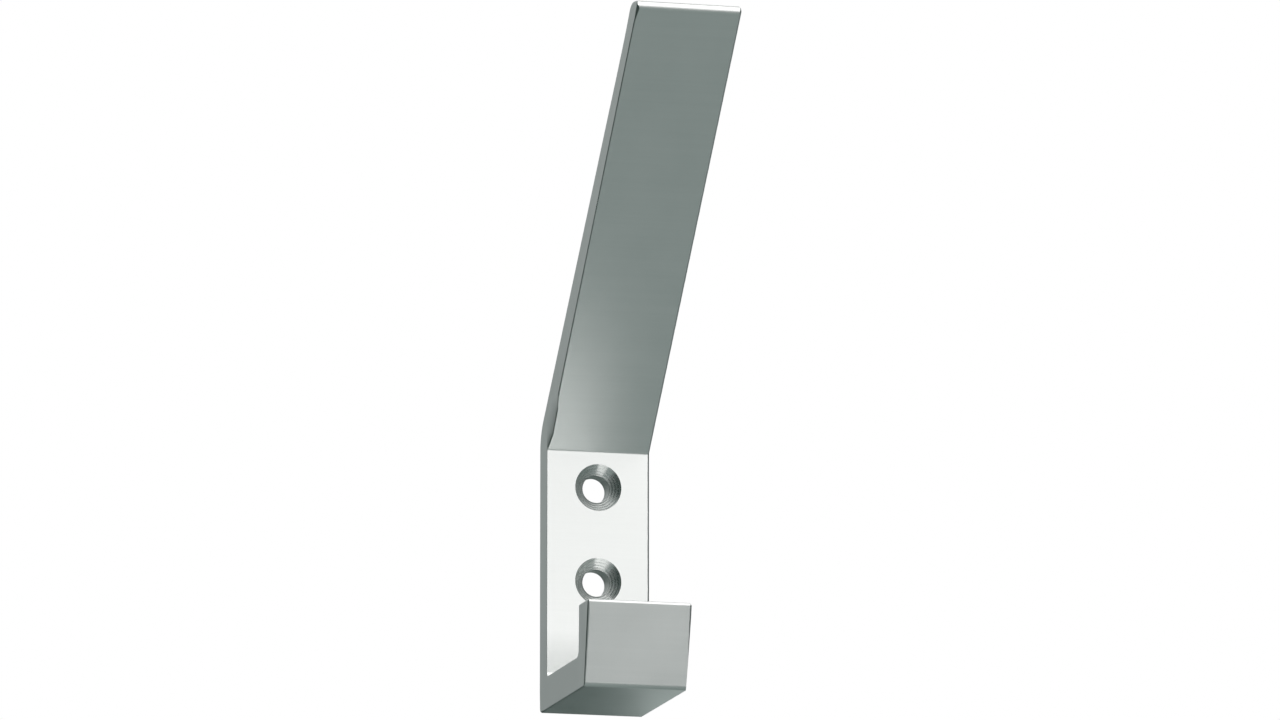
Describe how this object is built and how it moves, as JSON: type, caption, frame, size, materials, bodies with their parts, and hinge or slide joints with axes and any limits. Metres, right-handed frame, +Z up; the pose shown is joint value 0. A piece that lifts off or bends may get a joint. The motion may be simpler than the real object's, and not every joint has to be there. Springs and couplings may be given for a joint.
{
  "type": "hat and coat hook",
  "caption": "One-piece extruded aluminium hat and coat hook: flat wall plate with countersunk screw holes, short J hook below and a long leaning arm above.",
  "frame": {"origin": "on the back face of the wall plate, midway between the two screw holes", "axes": "+X along the width, -Y out of the wall into the room, +Z up as it hangs"},
  "size_m": [0.02, 0.0729, 0.1222],
  "materials": {
    "anodised_aluminium": "satin natural anodised, fine draw lines along the width on the extruded faces"
  },
  "bodies": {
    "root": {"hook_body": "anodised_aluminium"}
  },
  "joints": []
}
